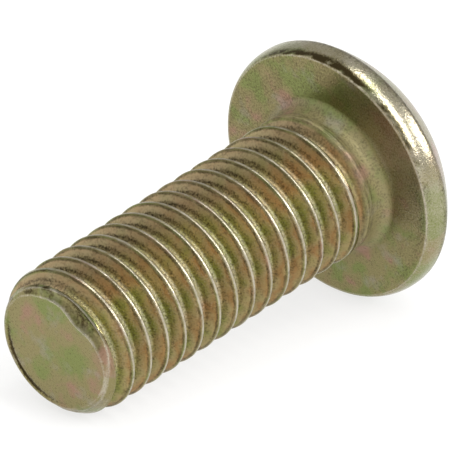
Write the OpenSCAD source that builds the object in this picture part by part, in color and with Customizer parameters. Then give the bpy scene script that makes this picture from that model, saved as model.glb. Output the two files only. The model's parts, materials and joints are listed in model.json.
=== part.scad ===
// Button head machine screw with a hexagon socket and a rolled right-hand thread.
// Lengths are in millimetres. The screw lies on the plane z = 0, on the rim of its head and
// on two crests near its tip, with the tip towards -X.

/* [Thread] */
// Diameter over the crests
thread_d = 7.8; // [7.4:0.05:8.4]
// Diameter at the bottom of the groove
root_d = 6.5; // [6.2:0.05:6.8]
// Distance from one crest to the next
pitch = 1.25; // [1.1:0.05:1.5]
// Width of the flat on a crest
crest_w = 0.14; // [0.08:0.01:0.2]
// Angle between the two flanks of the groove
flank_angle = 60; // [55:1:62]
// Rounding of the groove's bottom, as the depth of its middle below its sides
root_sag = 0.05; // [0.02:0.01:0.08]
// Distance from the bearing face to the first full crest, in line with a corner of the socket
first_crest = 2.5; // [1.9:0.01:3.2]

/* [Shank] */
// Length from the bearing face to the tip
shank_l = 20; // [12:0.5:40]
// Diameter of the flat end face at the tip
tip_d = 6.4; // [5:0.1:7]
// Length over which the crests fall away towards the tip
tip_l = 1.6; // [1.5:0.1:3]
// Diameter of the plain neck under the head
neck_d = 7.2; // [6.8:0.05:7.3]
// Length of the plain neck, its fillet included
neck_l = 0.8; // [0.7:0.05:1.2]
// Length over which the crests rise from the neck and the groove reaches its full depth
runout_l = 1.1; // [0.8:0.1:2]
// Radius of the fillet between the neck and the bearing face
fillet_r = 0.6; // [0.3:0.05:0.65]

/* [Head] */
// Diameter of the head at its widest
head_d = 13.7; // [13.4:0.1:15]
// Diameter of the flat bearing face
bearing_d = 13.1; // [12:0.1:13.3]
// Height of the dome's crown above the bearing face, before the socket is cut
head_h = 4.65; // [4.4:0.05:5.2]
// Height of the widest place of the rim above the bearing face
rim_h = 0.85; // [0.6:0.05:1]
// Radius of the dome
dome_r = 8.5; // [8.2:0.1:9.5]
// Radius of the rounded shoulder between the rim and the dome
shoulder_r = 0.5; // [0.2:0.05:0.8]

/* [Socket] */
// Width of the hexagon across its flats
socket_w = 5; // [4:0.1:5.2]
// Depth of the flat sides below the crown
socket_l = 3.1; // [2.6:0.1:3.4]
// Diameter of the conical bottom
socket_cone_d = 4.6; // [3:0.1:4.8]
// Angle of the conical bottom
socket_cone_angle = 130; // [110:5:150]
// Diameter of the countersunk mouth
mouth_d = 6.1; // [6.05:0.05:6.6]
// Angle of the countersunk mouth
mouth_angle = 120; // [90:5:130]

/* [Hidden] */
arc_steps = 8;
turn_steps = 40;
$fn = 2 * turn_steps;

thread_r = thread_d / 2;
thread_depth = (thread_d - root_d) / 2;
flank_run = tan(flank_angle / 2);
neck_r = neck_d / 2;
tip_r = tip_d / 2;

// The tip is an arc that leaves the crests tangentially and ends at the end face
tip_drop = thread_r - tip_r;
tip_arc_r = (tip_l * tip_l + tip_drop * tip_drop) / (2 * tip_drop);

// The head has an upright wall at its widest place, between the shoulder's fillet and the rim's arc,
// which leaves the wall tangentially and ends at the edge of the bearing face
dome_c = [0, dome_r - head_h];
shoulder_x = head_d / 2 - shoulder_r;
shoulder_c = [shoulder_x, dome_c.y - sqrt(pow(dome_r - shoulder_r, 2) - shoulder_x * shoulder_x)];
rim_in = (head_d - bearing_d) / 2;
rim_r = (rim_h * rim_h + rim_in * rim_in) / (2 * rim_in);
rim_c = [head_d / 2 - rim_r, -rim_h];

// The rim's arc is flattened where the wall above it is too low for its full height
rim_fit = min(1, -shoulder_c.y / rim_h);

mouth_r = mouth_d / 2;
mouth_z = dome_c.y - sqrt(dome_r * dome_r - mouth_r * mouth_r);

// The groove is cut with its open side a little outside the crests
groove_out = crest_w / 2;
groove_root_w = pitch - crest_w - 2 * thread_depth * flank_run;
groove_start = neck_l;
groove_mid = first_crest + pitch / 2;
groove_step = pitch / turn_steps;

// The screw rests where two neighbouring crests meet the floor at once, and is rolled until they are below
rest_s = rest_between(shank_l - tip_l - pitch, shank_l - pitch);
lean = lean_on(crest_edge(rest_s, 1));
roll = 180 - 360 * (rest_s - first_crest) / pitch;
bearing_z = rim_c.x * cos(lean) + rim_c.y * sin(lean) + rim_r;
head_reach = mouth_r * sin(lean) - mouth_z * cos(lean);
tip_reach = tip_r * sin(lean) + shank_l * cos(lean);

// Direction of the vector v, in degrees
function heading(v) = atan2(v.y, v.x);

// Points on an arc about c, from the angle a to the angle b
function arc(c, r, a, b) =
    [for (i = [0 : arc_steps]) let (t = a + (b - a) * i / arc_steps) c + r * [cos(t), sin(t)]];

// Radius of the crests at the distance s from the bearing face
function crest_r(s) =
    let (past = s - (shank_l - tip_l))
    past <= 0 ? thread_r : thread_r - tip_arc_r + sqrt(tip_arc_r * tip_arc_r - past * past);

// Lean at which a crest at the distance s and the rim of the head both touch the floor
function lean_on(s) =
    let (run = s - rim_c.y, rise = rim_c.x - crest_r(s))
    atan2(rise, run) + asin(rim_r / norm([run, rise]));

// Edge of the crest with its middle at s, on the tip's side (way 1) or the head's (way -1).
// Where the tip cuts a crest off lower by drop, its flanks make it wider.
function crest_edge(s, way, drop = 0, tries = 12) =
    let (edge = s + way * (crest_w / 2 + drop * flank_run))
    tries == 0 ? edge : crest_edge(s, way, thread_r - crest_r(edge), tries - 1);

// Middle, between a and b, of the crest that touches the floor together with the next one
function rest_between(a, b) =
    let (s = (a + b) / 2)
    b - a < 0.0001 ? s
    : lean_on(crest_edge(s, 1)) > lean_on(crest_edge(s + pitch, -1)) ? rest_between(s, b)
    : rest_between(a, s);

// Section of the groove at the distance s from the bearing face, turned to its place on the helix
function groove_section(s) =
    let (
        turn = 360 * (s - groove_mid) / pitch,
        lift = (thread_depth + groove_out) * max(0, 1 - (s - groove_start) / runout_l),
        r_root = thread_r - thread_depth + lift,
        r_out = thread_r + groove_out + lift,
        half_root = groove_root_w / 2,
        half_out = half_root + (thread_depth + groove_out) * flank_run
    )
    [
        for (p = [
            [r_out, s - half_out],
            [r_root, s - half_root],
            [r_root - root_sag, s],
            [r_root, s + half_root],
            [r_out, s + half_out]
        ])
        [p.x * cos(turn), p.x * sin(turn), p.y]
    ];

// Half section of the screw before its socket and thread are cut, the head at negative heights
function turned_outline() = concat(
    arc(dome_c, dome_r, -90, heading(shoulder_c - dome_c)),
    arc(shoulder_c, shoulder_r, heading(shoulder_c - dome_c), 0),
    [for (p = arc(rim_c, rim_r, 0, heading([bearing_d / 2, 0] - rim_c))) [p.x, p.y * rim_fit]],
    arc([neck_r + fillet_r, fillet_r], fillet_r, 270, 180),
    [[neck_r, neck_l], [thread_r, neck_l + runout_l]],
    arc([thread_r - tip_arc_r, shank_l - tip_l], tip_arc_r, 0, asin(tip_l / tip_arc_r)),
    [[0, shank_l]]
);

// Helical groove, swept from the neck past the tip, each section a quarter step off the facets' edges
module thread_groove() {
    first = floor((groove_start - groove_mid) / groove_step);
    last = ceil((shank_l + pitch - groove_mid) / groove_step);
    rings = [for (i = [first : last]) groove_section(groove_mid + (i + 0.25) * groove_step)];
    count = len(rings) - 1;
    n = len(rings[0]);
    sides = [
        for (i = [0 : count - 1], k = [0 : n - 1])
        let (a = i * n + k, b = i * n + (k + 1) % n)
        each [[a, b + n, b], [a, a + n, b + n]]
    ];
    first_cap = [[for (k = [0 : n - 1]) k]];
    last_cap = [[for (k = [0 : n - 1]) count * n + n - 1 - k]];
    polyhedron([for (ring = rings) each ring], concat(first_cap, sides, last_cap));
}

// Hexagon socket with a countersunk mouth and a conical bottom
module socket() {
    bottom = socket_l - head_h;
    mouth_l = mouth_r / tan(mouth_angle / 2);
    translate([0, 0, -head_h])
    cylinder(d = socket_w / cos(30), h = socket_l, $fn = 6);
    translate([0, 0, bottom])
    cylinder(d1 = socket_cone_d, d2 = 0, h = socket_cone_d / 2 / tan(socket_cone_angle / 2));
    translate([0, 0, mouth_z - mouth_l])
    cylinder(r1 = 2 * mouth_r, r2 = 0, h = 2 * mouth_l);
}

// The finished screw, lying on the floor
module screw() {
    color("darkkhaki")
    translate([(tip_reach - head_reach) / 2, 0, bearing_z])
    rotate([0, -90 - lean, 0])
    rotate(roll)
    difference() {
        rotate_extrude() polygon(turned_outline());
        thread_groove();
        socket();
    }
}

screw();
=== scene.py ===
"""Looks of a button head machine screw: rolled thread, rubbed yellow zinc plate, white studio."""

import json
import logging
import math
from dataclasses import dataclass
from enum import Enum
from typing import Any, Sequence

import bpy
import numpy as np
from bpy.types import Material, Mesh, Node, NodeSocket, NodeTree, Object
from mathutils import Matrix, Vector, noise


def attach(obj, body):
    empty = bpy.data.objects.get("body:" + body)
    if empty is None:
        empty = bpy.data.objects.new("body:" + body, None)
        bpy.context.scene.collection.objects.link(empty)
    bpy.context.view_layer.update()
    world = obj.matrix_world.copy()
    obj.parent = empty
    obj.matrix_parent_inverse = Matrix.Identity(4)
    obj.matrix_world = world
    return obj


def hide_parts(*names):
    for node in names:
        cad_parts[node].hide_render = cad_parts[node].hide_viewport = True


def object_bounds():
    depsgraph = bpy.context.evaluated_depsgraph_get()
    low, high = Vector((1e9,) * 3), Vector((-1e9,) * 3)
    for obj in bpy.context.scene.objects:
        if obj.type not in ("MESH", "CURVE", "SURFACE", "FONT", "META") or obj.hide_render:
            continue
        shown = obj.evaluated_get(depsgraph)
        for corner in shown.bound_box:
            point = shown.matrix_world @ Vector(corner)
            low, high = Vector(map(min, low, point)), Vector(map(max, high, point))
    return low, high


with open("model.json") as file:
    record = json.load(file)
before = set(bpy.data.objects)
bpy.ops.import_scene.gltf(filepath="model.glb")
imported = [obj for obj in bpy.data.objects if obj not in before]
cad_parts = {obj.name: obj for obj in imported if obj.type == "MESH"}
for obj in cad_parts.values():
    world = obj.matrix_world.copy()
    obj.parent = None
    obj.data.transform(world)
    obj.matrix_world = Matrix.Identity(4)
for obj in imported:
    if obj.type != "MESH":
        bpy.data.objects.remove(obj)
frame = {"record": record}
PACKED_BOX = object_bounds()

Array = np.ndarray
LOG = logging.getLogger("screw")
MM = 0.001
# columns of each ring, and steps of the thread in one turn
STEPS = 144
RING_ANGLES = np.arange(STEPS) * (2 * math.pi / STEPS)
MERGE_MM = 0.0004
SMOOTH_BELOW = math.radians(32)
# the plain neck in mm, where the shank and the head meet
NECK_R = 3.76
NECK_L = 0.8
MARK_NAMES = ("wear", "groove", "film", "dull", "tint")


class Input(Enum):
    """Inputs of the colour mix node, whose names are not unique."""

    FACTOR = 0
    FIRST = 6
    SECOND = 7


# colour output of that node
MIX_RESULT = 2


def hex_colour(code: str) -> tuple[float, float, float, float]:
    """Linear colour of an sRGB hex code.

    Args:
        code: Six hex digits after a hash sign.

    Returns:
        Red, green, blue and an alpha of 1.
    """
    parts = [int(code[i : i + 2], 16) / 255 for i in (1, 3, 5)]
    red, green, blue = (p / 12.92 if p <= 0.04045 else ((p + 0.055) / 1.055) ** 2.4 for p in parts)
    return red, green, blue, 1.0


def add_node(
    tree: NodeTree,
    kind: str,
    settings: dict[str, Any] | None = None,
    inputs: dict[str | int | Input, Any] | None = None,
) -> Node:
    """Adds one node with its settings and links.

    Args:
        tree: Node tree of a material or of the world.
        kind: Type name of the node.
        settings: Properties of the node and their values.
        inputs: Input names or numbers, each with a value or with the socket that feeds it.

    Returns:
        The new node.
    """
    node = tree.nodes.new(kind)
    for name, value in (settings or {}).items():
        setattr(node, name, value)
    for name, value in (inputs or {}).items():
        socket = node.inputs[name.value if isinstance(name, Input) else name]
        if isinstance(value, NodeSocket):
            tree.links.new(value, socket)
        else:
            socket.default_value = value
    return node


def set_ramp(node: Node, stops: Sequence[tuple[float, str]]) -> None:
    """Gives a colour ramp its stops.

    Args:
        node: The ramp's node.
        stops: Places between 0 and 1 with their colours as hex codes, in order.
    """
    elements = node.color_ramp.elements
    while len(elements) < len(stops):
        elements.new(0.5)
    for element, (place, code) in zip(elements, stops):
        element.position = place
        element.color = hex_colour(code)


def bell(value: Array, middle: float, width: float) -> Array:
    """Bell curve of height 1.

    Args:
        value: Where the curve is read.
        middle: Place of its top.
        width: Distance from the top at which it has fallen to about a third.

    Returns:
        Height at each value.
    """
    return np.exp(-(((value - middle) / width) ** 2))


def bell_round(angle: Array, middle_deg: float, width_deg: float) -> Array:
    """Bell curve around the screw's axis.

    Args:
        angle: Angles in radians.
        middle_deg: Place of its top, in degrees.
        width_deg: Half width, in degrees.

    Returns:
        Height at each angle.
    """
    away = np.degrees(angle) - middle_deg
    return bell((away + 180) % 360 - 180, 0.0, width_deg)


def ease(value: Array, start: float, end: float) -> Array:
    """Smooth step from 0 at the start to 1 at the end.

    Args:
        value: Where the step is read.
        start: Value at which it leaves 0.
        end: Value at which it reaches 1.

    Returns:
        Height of the step at each value.
    """
    share = np.clip((value - start) / (end - start), 0, 1)
    return share * share * (3 - 2 * share)


def uneven(points: Array, grain_mm: float, seed: float) -> Array:
    """Smooth noise in space, the same on each run.

    Args:
        points: Places in mm, one per row.
        grain_mm: Size of one patch.
        seed: Shift that gives another pattern.

    Returns:
        A value between about -1 and 1 for each place.
    """
    shift = Vector((seed, 1.7 * seed, -2.3 * seed))
    return np.array([noise.noise(Vector(p) / grain_mm + shift) for p in points])


@dataclass(frozen=True)
class Ring:
    """One ring of a turned shell, as radius and height at each of its angles, in mm."""

    radius: Array
    height: Array

    @classmethod
    def even(cls, radius: float, height: float) -> "Ring":
        """A plain circle.

        Args:
            radius: Its radius.
            height: Its distance from the bearing face, towards the tip.

        Returns:
            The ring.
        """
        return cls(np.full(STEPS, radius), np.full(STEPS, height))


def round_points(radius: Array, angle: Array, along: Array) -> Array:
    """Places around the screw's axis.

    Args:
        radius: Distances from the axis.
        angle: Angles in radians.
        along: Distances from the bearing face, towards the tip.

    Returns:
        One row per place.
    """
    return np.column_stack((radius * np.cos(angle), radius * np.sin(angle), along))


def turned_shell(name: str, rings: Sequence[Ring], pole: float) -> Object:
    """Draws a shell ring by ring from a circle and closes it at a pole on the axis.

    Args:
        name: Name of the new object.
        rings: The rings in order, the first one open.
        pole: Height of the closing point on the axis.

    Returns:
        The shell, in mm.
    """
    start = rings[0]
    bpy.ops.mesh.primitive_circle_add(
        vertices=STEPS, radius=float(start.radius.mean()), location=(0, 0, 0), fill_type="NOTHING"
    )
    shell = bpy.context.object
    shell.name = name
    bpy.ops.object.mode_set(mode="EDIT")
    bpy.ops.mesh.select_all(action="SELECT")
    for ring in rings[1:]:
        rise = float(ring.height.mean() - start.height.mean())
        share = float(ring.radius.mean() / start.radius.mean())
        bpy.ops.mesh.extrude_region_move(TRANSFORM_OT_translate={"value": (0, 0, rise)})
        bpy.ops.transform.resize(value=(share, share, 1), center_override=(0, 0, 0))
        start = ring
    bpy.ops.mesh.extrude_region_move(TRANSFORM_OT_translate={"value": (0, 0, 0)})
    bpy.ops.mesh.merge(type="CENTER")
    bpy.ops.object.mode_set(mode="OBJECT")
    places = read_points(shell.data)
    angles = np.arctan2(places[:, 1], places[:, 0])
    columns = np.round(angles * STEPS / (2 * math.pi)).astype(int) % STEPS
    for number, ring in enumerate(rings):
        part = slice(number * STEPS, (number + 1) * STEPS)
        column = columns[part]
        places[part] = round_points(ring.radius[column], RING_ANGLES[column], ring.height[column])
    places[len(rings) * STEPS :] = (0, 0, pole)
    write_points(shell.data, places)
    return shell


def read_points(mesh: Mesh) -> Array:
    """Places of a mesh's vertices.

    Args:
        mesh: The mesh.

    Returns:
        One row per vertex.
    """
    flat = np.empty(len(mesh.vertices) * 3)
    mesh.vertices.foreach_get("co", flat)
    return flat.reshape(-1, 3)


def write_points(mesh: Mesh, places: Array) -> None:
    """Moves a mesh's vertices.

    Args:
        mesh: The mesh.
        places: One row per vertex.
    """
    mesh.vertices.foreach_set("co", places.ravel())
    mesh.update()


@dataclass(frozen=True)
class Marks:
    """State of the plate at each vertex of a part.

    Wear is where it is rubbed bright; it also holds painted light: silver flecks as glints on the
    thread's side towards the lamps, to lighten the bearing face's shaded side and to whiten the rim's
    highlight. Groove is how deep it lies in the thread, film how much dark film it holds, together with
    a painted shadow and painted shade on the rim, dull where the chromate is thick and matte, and tint
    is pink below 0 and green above; on the thread it marks the top side of the grooves, which is
    greener and carries a painted tan highlight. Flow gives the places in mm along which the dies drew
    the grain out.
    """

    wear: Array
    groove: Array
    film: Array
    dull: Array
    tint: Array
    flow: Array

    def store(self, mesh: Mesh) -> None:
        """Keeps the marks and the places in mm as attributes of a mesh.

        Args:
            mesh: Mesh of one part, still in mm.
        """
        for name in MARK_NAMES:
            values = np.clip(getattr(self, name), -1, 1)
            mesh.attributes.new(name, "FLOAT", "POINT").data.foreach_set("value", values)
        for name, values in (("flow_mm", self.flow), ("screw_mm", read_points(mesh))):
            layer = mesh.attributes.new(name, "FLOAT_VECTOR", "POINT")
            layer.data.foreach_set("vector", values.ravel())


@dataclass(frozen=True)
class Stain:
    """Soft patch of one tint on a flat face of the screw, placed in mm along the face's up and side."""

    up: float
    side: float
    width: float
    tint: float


def stained(places: Array, stains: Sequence[Stain]) -> Array:
    """Tint of a flat face, pink below 0 and green above.

    Args:
        places: Places in mm, one per row.
        stains: The patches on the face.

    Returns:
        Tint at each place.
    """
    total = np.zeros(len(places))
    # the edges of the patches wander by this many mm
    wander = 0.35
    up = places[:, 0] + wander * uneven(places, 0.9, 3.7)
    side = places[:, 1] + wander * uneven(places, 0.9, 12.1)
    for stain in stains:
        total += stain.tint * bell(np.hypot(up - stain.up, side - stain.side), 0, stain.width)
    return total


def patchy(places: Array) -> Array:
    """Uneven strength of wear.

    Args:
        places: Places in mm, one per row.

    Returns:
        A share about 0.7 for each place.
    """
    return 0.7 + 0.3 * uneven(places, 0.6, 9.3) + 0.3 * uneven(places, 0.2, 2.9)


def flaked(places: Array) -> Array:
    """Patches of about 0.4 mm in which the plate has come off.

    Args:
        places: Places in mm, one per row.

    Returns:
        A share between 0 and 1 for each place.
    """
    return ease(uneven(places, 0.4, 1.9), -0.35, 0.35)


@dataclass(frozen=True)
class RolledShank:
    """Shank with its rolled thread, in mm, from the neck's plain end to the end face at the tip.

    Angles around the axis are measured from the top of the lying screw, towards its far side.
    """

    crest_r: float = 3.9
    depth: float = 0.65
    sag: float = 0.05
    pitch: float = 1.25
    crest_w: float = 0.14
    flank_run: float = math.tan(math.radians(30))
    first_crest: float = 2.5
    length: float = 20.0
    tip_l: float = 1.6
    tip_drop: float = 0.7
    neck_r: float = NECK_R
    neck_l: float = NECK_L
    runout_l: float = 1.1
    edge: float = 0.07
    snap: float = 0.02
    turns: int = 18
    turns_before: int = 3
    notch_deg: float = -38.0
    crack_deg: float = 128.0
    scuff_deg: float = 25.0
    crack_l: float = 0.1
    dent: float = 0.02
    end_stains: tuple[Stain, ...] = (
        Stain(1.7, 0.7, 0.6, -0.9),
        Stain(1.2, 1.8, 0.6, -0.7),
        Stain(2.0, -0.4, 0.8, 0.8),
        Stain(1.3, -1.2, 0.7, -0.5),
        Stain(-0.2, -1.4, 0.9, 0.8),
        Stain(-0.9, -2.4, 0.7, -1.0),
        Stain(-1.8, -1.5, 0.6, -0.7),
        Stain(-0.6, 1.0, 1.0, 0.4),
    )
    crest_waver: float = 0.014
    flank_waver: float = 0.006
    runout_ridge: float = 0.06

    def half_profile(self) -> list[tuple[float, float]]:
        """Section of half a pitch, from the middle of a crest to the middle of a groove.

        Returns:
            Pairs of distance along the axis and depth below the crest.
        """
        corner = self.crest_w / 2
        crest = [(0.0, 0.0), (0.025, 0.001), (0.045, 0.006), (0.064, 0.018), (0.083, 0.038)]
        flank_depths = (0.066, 0.12, 0.19, 0.27, 0.35, 0.43, 0.5, 0.57, 0.615)
        flank = [(corner + self.flank_run * below, below) for below in flank_depths]
        bottom = self.depth + self.sag
        root = [(0.462, 0.655), (0.51, 0.68), (0.565, bottom - 0.005), (self.pitch / 2, bottom)]
        return crest + flank + root

    def lip_radius(self, angle: Array) -> Array:
        """Radius of the end face's edge, which isn't quite round: the groove breaks out through it.

        Args:
            angle: Angles in radians.

        Returns:
            Radius at each angle.
        """
        full = 3.13 + 0.21 * bell_round(angle, -98, 28)
        return full - 0.5 * bell_round(angle, self.notch_deg, 20) - 0.22 * bell_round(angle, 5, 30)

    def last_ridge(self, angle: Array) -> Array:
        """Place along the axis of the last ridge, from which the tip steps down to the end face.

        Args:
            angle: Angles in radians.

        Returns:
            Distance from the bearing face at each angle.
        """
        step = 0.2 * bell_round(angle, -30, 48) + 0.16 * bell_round(angle, -72, 22)
        return self.length - self.edge - step - 0.12 * bell_round(angle, -115, 35)

    def envelope(self, along: Array) -> Array:
        """Radius of the blank: the neck, the rise to the crests and the rounded tip.

        Args:
            along: Distances from the bearing face.

        Returns:
            Radius at each place.
        """
        rise = np.clip((along - self.neck_l) / self.runout_l, 0, 1)
        before = self.neck_r + (self.crest_r - self.neck_r) * rise
        arc_r = (self.tip_l**2 + self.tip_drop**2) / (2 * self.tip_drop)
        past = np.clip(along - (self.length - self.tip_l), 0, self.tip_l)
        return before - (arc_r - np.sqrt(arc_r**2 - past**2))

    def from_crest(self, along: Array, angle: Array) -> Array:
        """Distance along the axis from the nearest crest.

        Args:
            along: Distances from the bearing face.
            angle: Angles in radians.

        Returns:
            Distance at each place, negative on the head's side.
        """
        helix = self.first_crest + self.pitch * angle / (2 * math.pi)
        return (along - helix + self.pitch / 2) % self.pitch - self.pitch / 2

    def radius(self, along: Array, angle: Array) -> Array:
        """Radius of the thread's surface before any unevenness.

        Args:
            along: Distances from the bearing face.
            angle: Angles in radians.

        Returns:
            Radius at each place.
        """
        return self.envelope(along) - np.clip(self.cut(along, angle), 0, None)

    def cut(self, along: Array, angle: Array) -> Array:
        """Depth of the groove below the blank, negative where the groove passes above it.

        Args:
            along: Distances from the bearing face.
            angle: Angles in radians.

        Returns:
            Depth at each place.
        """
        table = self.half_profile()
        off = self.from_crest(along, angle)
        below = np.interp(np.abs(off), [p[0] for p in table], [p[1] for p in table])
        groove = along - off + np.where(off >= 0, 1, -1) * self.pitch / 2
        shallow = np.clip(1 - (groove - self.neck_l) / self.runout_l, 0, None)
        lift = (self.depth + self.crest_w / 2) * shallow
        return self.envelope(along) - (self.crest_r - below + lift)

    def cracked(self, share: Array, angle: Array) -> Array:
        """Crack just inside the end face's edge, on the side away from the groove's end.

        Args:
            share: Distances from the axis as a share of the edge's radius.
            angle: Angles in radians.

        Returns:
            A share between 0 and 1 at each place.
        """
        around = round_points(np.full_like(angle, 4.0), angle, 0 * angle)
        middle = 0.94 + 0.014 * uneven(around, 0.5, 1.3)
        width = 0.026 + 0.014 * uneven(around, 0.3, 7.7)
        return bell((share - middle) / width, 0, 1) * bell_round(angle, self.crack_deg, 34)

    def uneven_radius(self, along: Array, angle: Array) -> Array:
        """Radius with the waver of the crests, the drag of the dies and the ridge of the run-out.

        Args:
            along: Distances from the bearing face.
            angle: Angles in radians.

        Returns:
            Radius at each place.
        """
        plain = self.radius(along, angle)
        places = round_points(plain, angle, along)
        inside = ease(along, self.neck_l, self.neck_l + 0.4)
        crest = bell(self.crest_r - plain, 0, 0.05)
        waver = self.crest_waver * crest * (0.5 + 0.5 * uneven(places, 0.7, 3.1))
        drag = self.flank_waver * (1 - crest) * uneven(places, 0.35, 8.4)
        ending = bell(along, self.neck_l + 0.45, 0.5)
        # the ridge is steep towards the tip and fades towards the head
        off = self.from_crest(along, angle)
        ridge = self.runout_ridge * ending * bell(off / np.where(off < 0, 0.4, 0.09), 0, 1)
        return plain + inside * (ridge - waver - drag)

    def broken_out(self, angle: Array) -> Array:
        """Where the last groove breaks out through the end face.

        Args:
            angle: Angles in radians.

        Returns:
            A share between 0 and 1 at each angle.
        """
        return np.clip(1.3 * bell_round(angle, -34, 32), 0, 1)

    def thread(self) -> Object:
        """Sweeps the thread's section round the axis and settles it on the blank.

        Returns:
            An open tube, in mm.
        """
        half = self.half_profile()
        section = [(-a, b) for a, b in reversed(half[1:])] + half
        bpy.ops.mesh.primitive_plane_add(size=1, location=(0, 0, 0))
        tube = bpy.context.object
        tube.name = "thread"
        bpy.ops.object.mode_set(mode="EDIT")
        bpy.ops.mesh.select_all(action="SELECT")
        bpy.ops.mesh.merge(type="CENTER")
        for (a, below), (next_a, next_below) in zip(section, section[1:]):
            bpy.ops.mesh.extrude_region_move(
                TRANSFORM_OT_translate={"value": (below - next_below, 0, next_a - a)}
            )
        bpy.ops.mesh.select_all(action="SELECT")
        bpy.ops.transform.translate(value=(self.crest_r, 0, 0))
        bpy.ops.object.mode_set(mode="OBJECT")
        screw = tube.modifiers.new("sweep", "SCREW")
        screw.axis = "Z"
        screw.steps = STEPS
        screw.render_steps = STEPS
        screw.iterations = self.turns
        screw.screw_offset = self.pitch
        screw.use_merge_vertices = False
        bpy.ops.object.modifier_apply(modifier=screw.name)
        count = len(section)
        step = np.arange(len(tube.data.vertices)) // count
        offset = np.tile([a for a, _ in section], self.turns * STEPS + 1)
        angle = RING_ANGLES[step % STEPS]
        start = self.first_crest - self.turns_before * self.pitch
        along = start + self.pitch * step / STEPS + offset
        # what lies beyond the blank's ends, or close to them, is drawn onto them
        end = self.last_ridge(angle)
        along = np.where(along > end - self.snap, end, along)
        along = np.where(along < self.neck_l + self.snap, self.neck_l, along)
        radius = self.uneven_radius(along, angle)
        write_points(tube.data, round_points(radius, angle, along))
        self.thread_marks(along, angle, radius).store(tube.data)
        return tube

    def thread_marks(self, along: Array, angle: Array, radius: Array) -> Marks:
        """Bright crests with a dark line beside them, film in the grooves, a matte run-out, painted
        glints on the side towards the lamps and a painted tan highlight on the top side of the grooves.

        Args:
            along: Distances from the bearing face.
            angle: Angles in radians.
            radius: Distances from the axis.

        Returns:
            The marks.
        """
        places = round_points(radius, angle, along)
        full = ease(along, self.neck_l + 0.3, self.neck_l + 1.2)
        sunk = np.clip(self.cut(along, angle), 0, None)
        off = self.from_crest(along, angle)
        to_ridge = self.last_ridge(angle) - along
        rubbed = 0.26 + 0.48 * full
        crest = rubbed * (1 - ease(np.abs(off), 0.045, 0.09)) * ease(to_ridge, 0.1, 0.5)
        ridge = bell(to_ridge, 0, 0.05) * (0.5 + 0.5 * self.broken_out(angle))
        scuffed = ease(self.length - along, 0.9, 0.4) * bell_round(angle, self.scuff_deg, 40)
        stripped = 0.55 * scuffed * flaked(places)
        above = bell_round(angle, 20, 48)
        # the grooves are darker at the root and towards the top side, and a thin dark line runs along
        # each flank, strongest on the top side
        root = (0.1 + 0.12 * above) * ease(sunk, 0.4, 0.55)
        top_flank_line = (0.05 + 0.3 * above) * full * bell(off, 0.34, 0.03)
        beside = 0.35 * full * bell(off, 0.125, 0.03) * ease(to_ridge, 0.3, 0.6)
        floor = full * ease(np.abs(off), 0.42, 0.52)
        # painted glints: silver flecks on the thread's side towards the lamps, where their highlights
        # fall
        glints = (0.22 + 0.2 * floor) * (0.4 + 0.6 * full) * bell_round(angle, -70, 50)
        return Marks(
            wear=(crest + ridge) * patchy(places) + 0.15 * scuffed + glints,
            groove=full * ease(sunk, 0.0, 0.65),
            film=root + top_flank_line + beside + stripped + 0.2 + 0.02 * above + 0.14 * (1 - full),
            dull=0.7 * full * ease(sunk, 0.03, 0.3) + (1 - full) + 0.45 * full * crest + 0.2 * floor,
            # on the thread the tint marks the top side of the grooves, which turns greener and carries
            # a painted tan highlight, as if lit from above
            tint=above * ease(sunk, 0.02, 0.1),
            flow=np.column_stack((np.abs(off), 0.15 * places[:, 0] + 0.1 * along, 0.15 * places[:, 1])),
        )

    def end_face(self) -> Object:
        """Step from the last ridge down to the end face, which is uneven and cracked at its edge.

        Returns:
            A shell, in mm.
        """
        angle = RING_ANGLES
        start = self.last_ridge(angle)
        outer = self.uneven_radius(start, angle)
        lip = self.lip_radius(angle)
        broken = self.broken_out(angle)
        rings = [Ring(outer, start)]
        for share in (0.06, 0.14, 0.26, 0.4, 0.54, 0.68, 0.8, 0.9, 0.96):
            radius = outer + (lip - outer) * share
            places = round_points(radius, angle, start)
            rise = (1 - broken) * (1 - (1 - share) ** 2) + broken * share**3
            hollow = broken * math.sin(math.pi * share) * (0.09 + 0.08 * uneven(places, 0.22, 5.2))
            rings.append(Ring(radius, start + (self.length - start) * rise - hollow))
        rings.append(Ring(lip, np.full(STEPS, self.length)))
        # close rings where the crack runs, and wider ones towards the axis
        near_edge = (0.985, 0.97, 0.962, 0.954, 0.946, 0.938, 0.93, 0.92, 0.9)
        for share in near_edge + (0.86, 0.8, 0.72, 0.62, 0.5, 0.36, 0.2, 0.08):
            radius = lip * share
            places = round_points(radius, angle, start)
            shares = np.full(STEPS, share)
            dent = self.dent * (0.5 + 0.5 * uneven(places, 1.3, 6.6)) * ease(1 - shares, 0, 0.1)
            crack = self.crack_l * self.cracked(shares, angle)
            rings.append(Ring(radius, self.length - dent - crack))
        shell = turned_shell("end_face", rings, self.length - self.dent / 2)
        self.end_marks(read_points(shell.data)).store(shell.data)
        return shell

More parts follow.
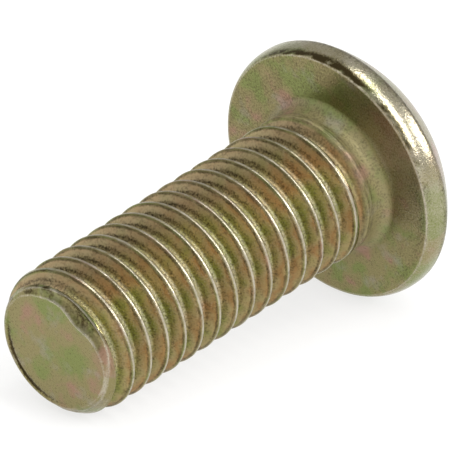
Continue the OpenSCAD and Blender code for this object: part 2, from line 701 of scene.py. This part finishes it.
    def end_marks(self, places: Array) -> Marks:
        """Bright ridge and edge, dark pits in the notch, a dark crack and the stains of the end face.

        Args:
            places: Places in mm, one per row.

        Returns:
            The marks.
        """
        angle = np.arctan2(places[:, 1], places[:, 0])
        radius = np.hypot(places[:, 0], places[:, 1])
        lip = self.lip_radius(angle)
        ridge = self.last_ridge(angle)
        outer = self.radius(ridge, angle)
        broken = self.broken_out(angle)
        step = ease(radius, lip, lip + 0.06) * (1 - ease(radius, outer - 0.08, outer - 0.01))
        hollow = bell_round(angle, self.notch_deg, 9) * bell(radius - (lip + outer) / 2, 0, 0.25)
        pits = step * (broken * (0.08 + 0.22 * uneven(places, 0.24, 5.2)) + 0.4 * hollow)
        ridge_wear = bell(radius - outer, 0, 0.06) * (0.5 + 0.5 * broken)
        edge_wear = bell(radius - lip, 0, 0.075) * (0.5 + 0.5 * bell_round(angle, -30, 60))
        scuffed = ease(radius, lip + 0.03, lip + 0.12) * bell_round(angle, self.scuff_deg, 40)
        stripped = 0.4 * scuffed * flaked(places)
        cracked = self.cracked(radius / lip, angle)
        chips = 0.6 * bell(radius / lip, 0.925, 0.05) * bell_round(angle, self.crack_deg, 38)
        chipped = chips * ease(uneven(places, 0.2, 3.3), -0.4, 0.4)
        return Marks(
            wear=(ridge_wear + edge_wear) * patchy(places) + 0.15 * scuffed,
            groove=0 * radius,
            film=pits + stripped + cracked + chipped + 0.18,
            dull=0.15 + 0.25 * step + 0.25 * edge_wear,
            tint=stained(places, self.end_stains) * (1 - step) - 0.35 * step * broken,
            flow=places,
        )


@dataclass(frozen=True)
class ButtonHead:
    """Low domed head with its bearing face, rim and hexagon socket, in mm, from the neck's end."""

    neck_r: float = NECK_R
    neck_l: float = NECK_L
    fillet_w: float = 0.46
    fillet_l: float = 0.7
    bearing_r: float = 6.55
    head_r: float = 6.85
    head_h: float = 4.65
    rim_h: float = 0.85
    dome_r: float = 8.5
    shoulder_r: float = 0.5
    socket_w: float = 5.0
    socket_bottom: float = -1.55
    cone_r: float = 2.3
    cone_angle: float = 130.0
    mouth_r: float = 3.05
    mouth_angle: float = 120.0
    rim_swell: float = 0.6
    edge: float = 0.03
    edge_l: float = 0.02
    dent: float = 0.008
    bearing_stains: tuple[Stain, ...] = (
        Stain(3.5, 2.5, 0.5, -0.9),
        Stain(1.5, 4.5, 0.8, -0.8),
        Stain(2.3, 4.9, 0.5, -0.5),
        Stain(4.2, 3.4, 0.6, -0.6),
        Stain(4.8, 1.3, 1.0, 0.8),
        Stain(3.3, 4.1, 0.8, 0.8),
        Stain(1.6, 5.6, 0.7, 0.6),
        Stain(-3.6, -2.0, 0.6, -1.2),
        Stain(-2.5, -3.8, 0.7, 1.2),
        Stain(-5.2, -0.4, 0.7, 1.0),
        Stain(-4.5, -2.0, 0.5, 1.1),
        Stain(-3.5, -3.8, 0.45, -1.2),
        Stain(-3.6, -4.5, 0.5, 1.1),
        Stain(-5.8, -1.1, 0.5, -1.2),
        Stain(-5.9, -1.9, 0.5, 1.0),
        Stain(-1.3, -4.5, 0.7, 0.8),
        Stain(1.1, -4.8, 0.8, -0.4),
        Stain(0.7, -6.6, 0.5, 0.8),
        Stain(-0.6, -6.7, 0.6, 0.9),
        Stain(-3.1, -6.0, 0.6, 0.9),
        Stain(-4.4, -5.1, 0.6, 0.8),
    )

    @staticmethod
    def arc(
        middle: tuple[float, float], radius: float, start_deg: float, end_deg: float, count: int
    ) -> list[Ring]:
        """Rings along an arc of the turned outline.

        Args:
            middle: Radius and height of the arc's middle.
            radius: Radius of the arc.
            start_deg: Angle of its first ring, in degrees from the radial direction.
            end_deg: Angle of its last ring.
            count: Number of rings.

        Returns:
            The rings in order.
        """
        turn = np.radians(np.linspace(start_deg, end_deg, count))
        return [
            Ring.even(middle[0] + radius * math.cos(t), middle[1] + radius * math.sin(t)) for t in turn
        ]

    def bearing(self) -> list[Ring]:
        """Fillet, flat bearing face and its edge.

        Returns:
            The rings in order.
        """
        rings = [Ring.even(self.neck_r, self.neck_l)]
        for turn in np.radians(np.linspace(180, 270, 12)):
            radius = self.neck_r + self.fillet_w * (1 + math.cos(turn))
            rings.append(Ring.even(radius, self.fillet_l * (1 + math.sin(turn))))
        angle = RING_ANGLES
        for radius in (4.4, 4.7, 5.0, 5.3, 5.6, 5.9, 6.15, 6.35, self.bearing_r - 0.1):
            even = np.full(STEPS, radius)
            dents = self.dent * uneven(round_points(even, angle, 0 * angle), 1.6, 2.2)
            rings.append(Ring(even, dents))
        rings.append(Ring.even(self.bearing_r - 0.045, -0.004))
        rings.append(Ring.even(self.bearing_r - 0.008, -0.022))
        return rings

    def dome(self) -> list[Ring]:
        """Rim, wall, shoulder and dome up to the mouth of the socket.

        Returns:
            The rings in order.
        """
        inset = self.head_r - self.bearing_r
        rim_r = (self.rim_h**2 + inset**2) / (2 * inset)
        rim_c = (self.head_r - rim_r, -self.rim_h)
        rim_start = math.degrees(math.atan2(self.rim_h, self.bearing_r - rim_c[0]))
        dome_c = (0.0, self.dome_r - self.head_h)
        side = self.head_r - self.shoulder_r
        shoulder_c = (side, dome_c[1] - math.sqrt((self.dome_r - self.shoulder_r) ** 2 - side**2))
        shoulder_end = math.degrees(math.atan2(shoulder_c[1] - dome_c[1], side))
        dome_end = -math.degrees(math.acos(self.mouth_r / self.dome_r))
        rings = self.arc(rim_c, rim_r, rim_start - 2.4, 0, 14)
        rings = [self.rounded(ring) for ring in rings]
        rings += self.arc(shoulder_c, self.shoulder_r, 0, shoulder_end, 8)
        rings += self.arc(dome_c, self.dome_r, shoulder_end, dome_end, 18)[1:]
        return rings

    def rounded(self, ring: Ring) -> Ring:
        """Swells the rim a little towards a quarter ellipse, as the header's die leaves it.

        Args:
            ring: A ring on the rim's arc.

        Returns:
            The ring, up to 0.04 mm wider.
        """
        low = np.clip(1 + ring.height / self.rim_h, 0, 1)
        ellipse = self.bearing_r + (self.head_r - self.bearing_r) * np.sqrt(1 - low**2)
        return Ring(ring.radius + self.rim_swell * (ellipse - ring.radius), ring.height)

    def socket(self) -> list[Ring]:
        """Countersunk mouth, hexagon and conical bottom of the socket.

        Returns:
            The rings in order.
        """
        top = self.dome_r - self.head_h - math.sqrt(self.dome_r**2 - self.mouth_r**2)
        slope = 1 / math.tan(math.radians(self.mouth_angle / 2))
        sixth = math.pi / 3
        hexagon = self.socket_w / 2 / np.cos(RING_ANGLES % sixth - sixth / 2)
        brim = top + (self.mouth_r - hexagon) * slope
        wall = brim + self.edge_l
        rings = [Ring.even(self.mouth_r - self.edge, top + self.edge * slope)]
        rings.append(Ring(hexagon + self.edge, brim - self.edge * slope))
        for share in (0.0, 0.08, 0.3, 0.6, 0.9, 0.98):
            rings.append(Ring(hexagon, wall + share * (self.socket_bottom - wall)))
        rings.append(Ring(hexagon - self.edge, np.full(STEPS, self.socket_bottom)))
        for radius in (self.cone_r, 2.2, 1.6, 1.0, 0.4):
            rings.append(Ring.even(radius, self.cone_height(radius)))
        return rings

    def cone_height(self, radius: float) -> float:
        """Height of the socket's conical bottom.

        Args:
            radius: Distance from the axis.

        Returns:
            Height at that distance.
        """
        return self.socket_bottom + (self.cone_r - radius) / math.tan(math.radians(self.cone_angle / 2))

    def build(self) -> Object:
        """Draws the head.

        Returns:
            A shell that is open at the neck, in mm.
        """
        rings = self.bearing() + self.dome() + self.socket()
        shell = turned_shell("head", rings, self.cone_height(0.0))
        self.marks(read_points(shell.data)).store(shell.data)
        return shell

    def marks(self, places: Array) -> Marks:
        """Bright edges, a rubbed rim with a ragged dark band, a painted shadow and painted shade on it,
        a matte fillet and a stained bearing face, with silver flecks painted on its shaded side to
        lighten it.

        Args:
            places: Places in mm, one per row.

        Returns:
            The marks.
        """
        radius = np.hypot(places[:, 0], places[:, 1])
        angle = np.arctan2(places[:, 1], places[:, 0])
        deep = -places[:, 2]
        edge = 0.8 * bell(np.hypot(radius - self.bearing_r, deep), 0, 0.05)
        outside = ease(radius, self.bearing_r, self.bearing_r + 0.05)
        under = (1 - outside) * (1 - ease(deep, 0.2, 0.5))
        rim = outside * (1 - ease(deep, 1.1, 1.8))
        # the rim is rubbed pale; the extra paleness around -48 degrees, where the lamps' highlight
        # falls, is painted to whiten that highlight
        hazy = 0.5 + 0.2 * bell_round(angle, -48, 32) - 0.18 * bell_round(angle, -125, 50)
        pale = hazy * rim * (0.9 + 0.3 * uneven(places, 0.8, 4.4))
        shaded = bell_round(angle, -60, 50) * under
        fillet_end = self.neck_r + self.fillet_w
        filleted = under * (1 - ease(radius, fillet_end - 0.1, fillet_end + 0.3))
        # a ragged dark band along the rim's inner edge: a thin line, a broad smear on the top, and a
        # painted shadow at the top-left edge
        line = bell(deep, 0.12, 0.16) * np.clip(1.3 * bell_round(angle, -24, 48), 0, 1)
        smear = bell(deep, 0.22, 0.28) * bell_round(angle, -9, 12)
        shadow = 0.4 * bell(deep, 0.12, 0.2) * bell_round(angle, 28, 30)
        ragged = uneven(places, 0.5, 6.1) + 0.7 * uneven(places, 0.16, 2.2)
        dark_rim_band = np.clip(0.55 * line + 0.5 * smear + shadow, 0, 0.75) * outside * ease(ragged, -0.6, 0.4)
        # painted shade: a darker band at the rim's widest part dims its reflection of the white
        # surround
        rim_edge_shade = 0.3 * outside * bell(deep, 1.2, 0.3)
        ringed = 0.14 * bell(radius, 6.2, 0.25) * bell_round(angle, -105, 40)
        lower = bell_round(angle, -150, 45)
        left = bell_round(angle, 60, 60)
        cloudy = 0.12 * uneven(places, 0.5, 8.8) + 0.05 * left + ringed - 0.07 * lower
        mouth = 0.6 * bell(radius - self.mouth_r, 0, 0.08) * (1 - under)
        inside = ease(self.mouth_r - 0.1 - radius, 0, 0.3) * (1 - under)
        stains = stained(places, self.bearing_stains)
        return Marks(
            # the silver flecks on the shaded side of the bearing face are painted to lighten it
            wear=(edge + mouth) * patchy(places) + pale * (1 - dark_rim_band) + 0.45 * shaded * (1 - filleted),
            groove=0 * radius,
            film=dark_rim_band + rim_edge_shade + 0.12 + (0.14 + cloudy) * under + 0.2 * inside,
            dull=(0.15 + 0.48 * shaded + 0.85 * filleted) * under,
            tint=stains * (under + rim) + 0.3 * rim + 0.25 * lower * under,
            flow=places,
        )


@dataclass(frozen=True)
class Lying:
    """Place of the screw on the floor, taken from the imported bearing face.

    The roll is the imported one, which brings two crests down to the floor.
    """

    roll_deg: float = -0.75
    mount: str = "bearing_face"

    def matrix(self) -> Matrix:
        """Turns the screw's own mm into the row frame's metres.

        Returns:
            The placing matrix.
        """
        face = next(m for m in frame["record"]["mounts"] if m["name"] == self.mount)
        tip_way = Vector(face["axis"]).normalized()
        side = Vector((0, 1, 0))
        up = side.cross(tip_way).normalized()
        turn = Matrix((up, side, tip_way)).transposed().to_4x4()
        roll = Matrix.Rotation(math.radians(self.roll_deg), 4, "Z")
        return Matrix.Translation(face["pos_m"]) @ turn @ roll @ Matrix.Scale(MM, 4)


class Pattern(Enum):
    """Patterns in the plate, each with its patches per mm, its raggedness and a seed."""

    GRAIN = (9.0, 2.5, 0.0)
    LINES = (9.0, 2.5, 5.0)
    FLECKS = (12.0, 2.5, 9.0)
    RAINBOW = (0.5, 3.0, 13.0)
    PALE = (0.8, 3.0, 17.0)
    THICK = (0.8, 1.5, 21.0)


@dataclass(frozen=True)
class ChromatePlate:
    """Yellow chromate zinc plate on rolled steel: satin metal with olive, green and pink patches.

    The crests and edges are rubbed bright, the grooves and pits hold a dark brown film, and the
    chromate is thick and matte in the fillet and where the thread runs out. Painted light is mixed into
    the colour:
    silver glints on the thread, silver flecks that lighten the bearing face's shaded side and whiten
    the rim's highlight, a tan highlight on the top side of the grooves, and a painted shadow and
    painted shade on the rim.
    """

    olive: str = "#8E855C"
    green: str = "#7F8650"
    pink: str = "#9C7E68"
    grey: str = "#9C968A"
    # colour of the painted highlight on the top side of the grooves
    tan: str = "#B09C7C"
    gold: str = "#A29163"
    moss: str = "#83863F"
    brown: str = "#9E7A4C"
    silver: str = "#C0B8A5"
    film: str = "#473D26"
    roughness: float = 0.2
    dull_roughness: float = 0.3
    grain_mm: float = 0.022
    matte_from: float = 0.6
    matte_metal: float = 0.35
    tint_pull: float = 0.2
    groove_pull: float = 0.35
    speck_gain: float = 1.6
    speck_start: float = 0.85

    def material(self) -> Material:
        """Builds the material.

        Returns:
            The material, which reads the screw's own attributes.
        """
        made = bpy.data.materials.new("yellow chromate zinc plate on rolled steel")
        made.use_nodes = True
        tree = made.node_tree
        tree.nodes.clear()
        marks: dict[str, NodeSocket] = {}
        for name in MARK_NAMES:
            marks[name] = add_node(tree, "ShaderNodeAttribute", {"attribute_name": name}).outputs["Fac"]
        own, flow = (
            add_node(tree, "ShaderNodeAttribute", {"attribute_name": name}).outputs["Vector"]
            for name in ("screw_mm", "flow_mm")
        )
        # the colour of the grooves changes round the shank more than along it
        inputs = {0: own, 1: (1.0, 1.0, 0.3)}
        drawn = add_node(tree, "ShaderNodeVectorMath", {"operation": "MULTIPLY"}, inputs)
        places = {Pattern.LINES: flow, Pattern.THICK: drawn.outputs["Vector"]}
        noises: dict[Pattern, NodeSocket] = {}
        for pattern in Pattern:
            per_mm, ragged, seed = pattern.value
            place = places.get(pattern, own)
            inputs = {"Vector": place, "W": seed, "Scale": per_mm, "Detail": ragged, "Roughness": 0.57}
            node = add_node(tree, "ShaderNodeTexNoise", {"noise_dimensions": "4D"}, inputs)
            noises[pattern] = node.outputs["Fac"]
        # the dies draw the grain out along the flanks, and leave it even at the bottom of the grooves
        evened = add_node(tree, "ShaderNodeMapRange", inputs={"Value": marks["groove"], "To Min": 0.4})
        inputs = {
            Input.FACTOR: evened.outputs["Result"],
            Input.FIRST: noises[Pattern.LINES],
            Input.SECOND: noises[Pattern.GRAIN],
        }
        grain = add_node(tree, "ShaderNodeMix", {"data_type": "RGBA"}, inputs).outputs[MIX_RESULT]
        inputs = {
            "Value": noises[Pattern.GRAIN],
            "From Min": 0.3,
            "From Max": 0.7,
            "To Min": self.roughness - 0.05,
            "To Max": self.roughness + 0.1,
        }
        satin = add_node(tree, "ShaderNodeMapRange", inputs=inputs)
        # the dies leave the grooves rougher than the crests and the head
        inputs = {0: marks["dull"], 1: self.dull_roughness, 2: satin.outputs["Result"]}
        rough = add_node(tree, "ShaderNodeMath", {"operation": "MULTIPLY_ADD"}, inputs)
        # a thick chromate film hides the metal, so that it is matte there
        inputs = {"Value": marks["dull"], "From Min": self.matte_from, "To Min": 1.0}
        inputs["To Max"] = self.matte_metal
        metal = add_node(tree, "ShaderNodeMapRange", inputs=inputs)
        inputs = {"Height": grain, "Distance": self.grain_mm * MM, "Strength": 1.0}
        bump = add_node(tree, "ShaderNodeBump", inputs=inputs)
        inputs = {
            "Base Color": self.colour(tree, marks, noises, grain),
            "Metallic": metal.outputs["Result"],
            "Roughness": rough.outputs[0],
            "Normal": bump.outputs["Normal"],
        }
        shader = add_node(tree, "ShaderNodeBsdfPrincipled", inputs=inputs)
        add_node(tree, "ShaderNodeOutputMaterial", inputs={"Surface": shader.outputs["BSDF"]})
        return made

    def colour(
        self,
        tree: NodeTree,
        marks: dict[str, NodeSocket],
        noises: dict[Pattern, NodeSocket],
        grain: NodeSocket,
    ) -> NodeSocket:
        """Colour of the plate: a rainbow on the faces, a run of colours in the grooves with a painted
        tan highlight on their top side, rubbed silver specks that also carry painted glints, and film
        that also carries painted shade and a painted shadow.

        Args:
            tree: Node tree of the material.
            marks: Attributes of the screw by their names.
            noises: Patterns of the plate.
            grain: Grain of the plate, drawn out along the thread.

        Returns:
            The colour.
        """
        # patches of about 2 mm, the rainbow of a thin chromate film
        inputs = {0: marks["tint"], 1: self.tint_pull, 2: noises[Pattern.RAINBOW]}
        shade = add_node(tree, "ShaderNodeMath", {"operation": "MULTIPLY_ADD"}, inputs)
        rainbow = add_node(tree, "ShaderNodeValToRGB", inputs={"Fac": shade.outputs[0]})
        stops = [(0.34, self.pink), (0.46, self.olive), (0.53, self.olive), (0.64, self.green)]
        set_ramp(rainbow, stops)
        inputs = {"Value": noises[Pattern.PALE], "From Min": 0.55, "From Max": 0.75, "To Max": 0.6}
        pale = add_node(tree, "ShaderNodeMapRange", inputs=inputs)
        # the film thickens down a groove, in patches of about 1 mm
        inputs = {"Value": noises[Pattern.THICK], "From Min": 0.2, "From Max": 0.8}
        thick = add_node(tree, "ShaderNodeMapRange", inputs=inputs)
        inputs = {0: marks["groove"], 1: self.groove_pull, 2: thick.outputs["Result"]}
        depth = add_node(tree, "ShaderNodeMath", {"operation": "MULTIPLY_ADD"}, inputs)
        run = add_node(tree, "ShaderNodeValToRGB", inputs={"Fac": depth.outputs[0]})
        set_ramp(run, [(0.2, self.gold), (0.45, self.brown), (0.7, self.gold), (1.0, self.moss)])
        # painted highlight: the top side of each groove, marked by the tint, is painted tan as if lit
        # from above
        painted_highlight = add_node(tree, "ShaderNodeMapRange", inputs={"Value": marks["tint"], "To Max": 0.7})
        inputs = {
            Input.FACTOR: painted_highlight.outputs["Result"],
            Input.FIRST: run.outputs["Color"],
            Input.SECOND: hex_colour(self.tan),
        }
        run_with_painted_highlight = add_node(tree, "ShaderNodeMix", {"data_type": "RGBA"}, inputs).outputs[MIX_RESULT]
        inputs = {"Value": marks["groove"], "From Max": 0.1, "To Max": 0.9}
        within = add_node(tree, "ShaderNodeMapRange", inputs=inputs)
        layers = [
            (pale.outputs["Result"], hex_colour(self.grey)),
            (within.outputs["Result"], run_with_painted_highlight),
        ]
        # the plate goes and the film comes in specks of about 0.1 mm, denser where the mark is
        # stronger; the silver specks also carry the painted glints and lightening, and the film specks
        # carry the painted shade and shadow on the rim
        for name, mask, low, high, whole, code in (
            ("wear", noises[Pattern.FLECKS], 0.25, 0.75, 1.75, self.silver),
            ("film", grain, 0.0, 1.0, 1.6, self.film),
        ):
            inputs = {"Value": mask, "From Min": 0.3, "From Max": 0.7, "To Min": low, "To Max": high}
            spread = add_node(tree, "ShaderNodeMapRange", inputs=inputs)
            inputs = {0: marks[name], 1: self.speck_gain, 2: spread.outputs["Result"]}
            raised = add_node(tree, "ShaderNodeMath", {"operation": "MULTIPLY_ADD"}, inputs)
            inputs = {"Value": raised.outputs[0], "From Min": self.speck_start, "From Max": whole}
            cover = add_node(tree, "ShaderNodeMapRange", inputs=inputs)
            layers.append((cover.outputs["Result"], hex_colour(code)))
        colour = rainbow.outputs["Color"]
        for share, paint in layers:
            inputs = {Input.FACTOR: share, Input.FIRST: colour, Input.SECOND: paint}
            colour = add_node(tree, "ShaderNodeMix", {"data_type": "RGBA"}, inputs).outputs[MIX_RESULT]
        return colour


@dataclass(frozen=True)
class Screw:
    """The whole screw: shank and head joined into one closed piece, placed and finished."""

    shank: RolledShank = RolledShank()
    head: ButtonHead = ButtonHead()
    lying: Lying = Lying()
    plate: ChromatePlate = ChromatePlate()

    def build(self) -> None:
        """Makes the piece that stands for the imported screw."""
        parts = [self.shank.thread(), self.shank.end_face(), self.head.build()]
        body = parts[0]
        for other in bpy.context.selected_objects:
            other.select_set(False)
        for part in parts:
            part.select_set(True)
        bpy.context.view_layer.objects.active = body
        bpy.ops.object.join()
        body.name = "plated_screw"
        body.data.name = "plated_screw"
        bpy.ops.object.mode_set(mode="EDIT")
        bpy.ops.mesh.select_all(action="SELECT")
        bpy.ops.mesh.remove_doubles(threshold=MERGE_MM)
        bpy.ops.mesh.normals_make_consistent(inside=False)
        bpy.ops.object.mode_set(mode="OBJECT")
        body.matrix_world = self.lying.matrix()
        bpy.ops.object.transform_apply(location=True, rotation=True, scale=True)
        bpy.ops.object.shade_smooth_by_angle(angle=SMOOTH_BELOW)
        body.data.materials.clear()
        body.data.materials.append(self.plate.material())
        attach(body, "root")
        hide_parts("screw")
        LOG.info("screw: %d vertices, %d faces", len(body.data.vertices), len(body.data.polygons))


@dataclass(frozen=True)
class Softbox:
    """A flat lamp aimed at the screw."""

    name: str
    azimuth_deg: float
    elevation_deg: float
    distance_mm: float
    width_mm: float
    height_mm: float
    watts: float

    def build(self, target: Vector) -> None:
        """Adds the lamp.

        Args:
            target: Place that it faces.
        """
        back = direction(self.azimuth_deg, self.elevation_deg)
        bpy.ops.object.light_add(type="AREA", location=target + back * self.distance_mm * MM)
        lamp = bpy.context.object
        lamp.name = self.name
        lamp.rotation_euler = back.to_track_quat("Z", "Y").to_euler()
        lamp.data.shape = "RECTANGLE"
        lamp.data.size = self.width_mm * MM
        lamp.data.size_y = self.height_mm * MM
        lamp.data.energy = self.watts


def direction(azimuth_deg: float, elevation_deg: float) -> Vector:
    """Direction from the screw to a place around it.

    Args:
        azimuth_deg: 0 is in front, towards -Y, and 90 towards +X.
        elevation_deg: Angle above the floor.

    Returns:
        A unit vector.
    """
    a, e = math.radians(azimuth_deg), math.radians(elevation_deg)
    return Vector((math.sin(a) * math.cos(e), -math.cos(a) * math.cos(e), math.sin(e)))


@dataclass(frozen=True)
class Studio:
    """White floor and surround with softboxes, as in a catalogue picture."""

    floor_size: float = 6.0
    floor_colour: str = "#F4F3F1"
    floor_glow: float = 0.72
    overhead: float = 0.6
    soft_light: float = 1.1
    lamps: tuple[Softbox, ...] = (
        Softbox("softbox_right", 42, 26, 420, 170, 170, 0.6),
        Softbox("softbox_camera", -3, 46, 420, 70, 360, 0.95),
        Softbox("softbox_above", 60, 83, 420, 110, 110, 0.3),
    )

    def build(self, target: Vector) -> None:
        """Adds the floor, the surround and the lamps.

        Args:
            target: Place that the lamps face.
        """
        self.floor()
        self.surround()
        for lamp in self.lamps:
            lamp.build(target)

    def floor(self) -> None:
        """White floor that keeps a faint shadow."""
        bpy.ops.mesh.primitive_plane_add(size=self.floor_size, location=(0, 0, PACKED_BOX[0].z))
        floor = bpy.context.object
        floor.name = "floor"
        made = bpy.data.materials.new("white sweep")
        made.use_nodes = True
        tree = made.node_tree
        tree.nodes.clear()
        inputs = {0: self.seen(tree), 1: self.floor_glow}
        glow = add_node(tree, "ShaderNodeMath", {"operation": "MULTIPLY"}, inputs)
        paper = add_node(tree, "ShaderNodeBsdfDiffuse", inputs={"Color": hex_colour(self.floor_colour)})
        white = add_node(tree, "ShaderNodeEmission", inputs={"Strength": 1.0})
        inputs = {0: glow.outputs[0], 1: paper.outputs[0], 2: white.outputs[0]}
        both = add_node(tree, "ShaderNodeMixShader", inputs=inputs)
        add_node(tree, "ShaderNodeOutputMaterial", inputs={"Surface": both.outputs[0]})
        floor.data.materials.append(made)

    @staticmethod
    def seen(tree: NodeTree) -> NodeSocket:
        """Whether the surface is seen by the camera, in metal or through glass.

        Args:
            tree: Node tree of the floor or of the world.

        Returns:
            A socket that is 1 for those rays.
        """
        path = add_node(tree, "ShaderNodeLightPath")
        seen = path.outputs["Is Camera Ray"]
        for ray in ("Is Glossy Ray", "Is Transmission Ray"):
            inputs = {0: seen, 1: path.outputs[ray]}
            seen = add_node(tree, "ShaderNodeMath", {"operation": "MAXIMUM"}, inputs).outputs[0]
        return seen

    def surround(self) -> None:
        """White surround, which lights the screw evenly and is seen dimmer overhead."""
        world = bpy.data.worlds.new("white surround")
        bpy.context.scene.world = world
        world.use_nodes = True
        tree = world.node_tree
        tree.nodes.clear()
        way = add_node(tree, "ShaderNodeTexCoord").outputs["Generated"]
        height = add_node(tree, "ShaderNodeSeparateXYZ", inputs={0: way}).outputs["Z"]
        # white at the horizon, where the sweep goes up, and dim overhead
        inputs = {"Value": height, "From Min": 0.02, "From Max": 0.25, "To Min": 1.0}
        inputs["To Max"] = self.overhead
        sky = add_node(tree, "ShaderNodeMapRange", {"interpolation_type": "SMOOTHSTEP"}, inputs)
        inputs = {"Color": (1, 1, 1, 1), "Strength": sky.outputs["Result"]}
        white = add_node(tree, "ShaderNodeBackground", inputs=inputs)
        inputs = {"Color": (1, 1, 1, 1), "Strength": self.soft_light}
        soft = add_node(tree, "ShaderNodeBackground", inputs=inputs)
        inputs = {0: self.seen(tree), 1: soft.outputs[0], 2: white.outputs[0]}
        both = add_node(tree, "ShaderNodeMixShader", inputs=inputs)
        add_node(tree, "ShaderNodeOutputWorld", inputs={"Surface": both.outputs[0]})


@dataclass(frozen=True)
class PhotoCamera:
    """Camera of the photo, fitted to the screw's outline."""

    azimuth_deg: float = -48.324
    elevation_deg: float = 24.353
    roll_deg: float = 1.546
    distance_mm: float = 652.776
    px_per_mm: float = 20.412
    picture_px: float = 452.0
    aim_px: tuple[float, float] = (219.158, 234.05)
    aim_mm: tuple[float, float, float] = (0.0, 0.0, 6.0)
    sensor_mm: float = 36.0

    def build(self) -> None:
        """Adds the camera and makes it the scene's own."""
        back = direction(self.azimuth_deg, self.elevation_deg)
        roll = Matrix.Rotation(math.radians(self.roll_deg), 3, "Z")
        turn = back.to_track_quat("Z", "Y").to_matrix() @ roll
        middle = self.picture_px / 2
        across = (middle - self.aim_px[0]) / self.px_per_mm
        above = (self.aim_px[1] - middle) / self.px_per_mm
        aim = Vector(self.aim_mm) + turn.col[0] * across + turn.col[1] * above
        bpy.ops.object.camera_add(location=(aim + back * self.distance_mm) * MM)
        camera = bpy.context.object
        camera.rotation_euler = turn.to_euler()
        camera.data.sensor_width = self.sensor_mm
        camera.data.lens = self.sensor_mm * self.distance_mm * self.px_per_mm / self.picture_px
        camera.data.clip_start = 0.01
        camera.data.clip_end = 20.0
        bpy.context.scene.camera = camera


def main() -> None:
    """Builds the screw, the studio and the camera."""
    logging.basicConfig(level=logging.INFO, format="%(name)s: %(message)s")
    bpy.context.scene.view_settings.view_transform = "Standard"
    Screw().build()
    target = (PACKED_BOX[0] + PACKED_BOX[1]) / 2
    Studio().build(target)
    PhotoCamera().build()


if __name__ == "__main__":
    main()
